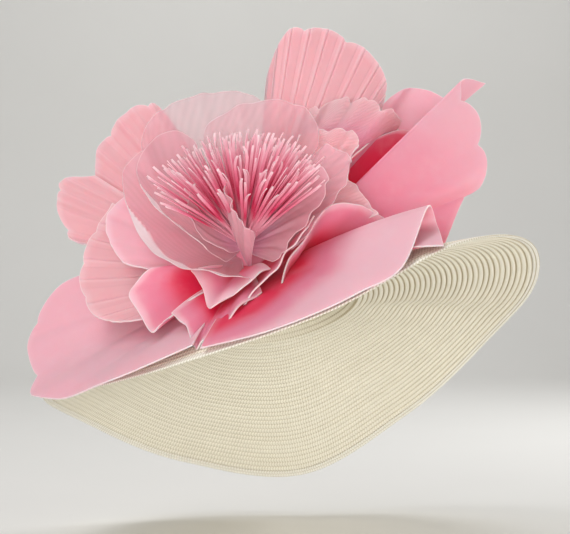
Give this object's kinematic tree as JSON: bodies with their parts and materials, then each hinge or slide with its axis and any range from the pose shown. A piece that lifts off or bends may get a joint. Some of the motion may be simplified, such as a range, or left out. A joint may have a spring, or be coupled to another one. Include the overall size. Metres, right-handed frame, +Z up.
{
  "type": "race day hat",
  "caption": "Wide-brimmed straw race day hat with a drooping brim, a round crown and one giant open flower of foam and organza petals at the front.",
  "frame": {"origin": "centre of the oval head opening, where the crown meets the brim", "axes": "+Z up, -Y the way the wearer faces, +X to the wearer's left; the hat keeps the tilt that it has on the head"},
  "size_m": [0.5586, 0.5024, 0.5343],
  "materials": {
    "straw": "sewn paper-braid straw, matt",
    "straw_edge": "double row of braid, matt",
    "core_foam": "plain covered foam, matt",
    "smooth_foam": "smooth sheet foam, satin",
    "ribbed_foam": "sheet foam with pressed ribs, satin",
    "pink_foam": "crimped sheet foam, satin",
    "organza": "sheer organza",
    "stamens": "thin foam strips"
  },
  "bodies": {
    "root": {"crown": "straw", "brim": "straw", "brim_edge": "straw_edge", "flower_core": "core_foam", "smooth_back": "smooth_foam", "smooth_right": "smooth_foam", "ribbed_top": "ribbed_foam", "deep_right": "pink_foam", "ribbed_upper_left": "ribbed_foam", "ribbed_left": "ribbed_foam", "ribbed_lower_left": "ribbed_foam", "smooth_left": "smooth_foam", "smooth_front": "smooth_foam", "crepe_upper_right": "pink_foam", "soft_left": "pink_foam", "cupped_right": "pink_foam", "crepe_right": "pink_foam", "ruffled_left": "pink_foam", "ruffled_front_left": "pink_foam", "ruffled_front": "pink_foam", "pointed_front": "pink_foam", "organza_top": "organza", "organza_inner_top": "organza", "organza_left": "organza", "organza_inner_left": "organza", "organza_right": "organza", "organza_veil_front": "organza", "organza_veil_left": "organza", "organza_veil_right": "organza", "stamens": "stamens"}
  },
  "joints": []
}
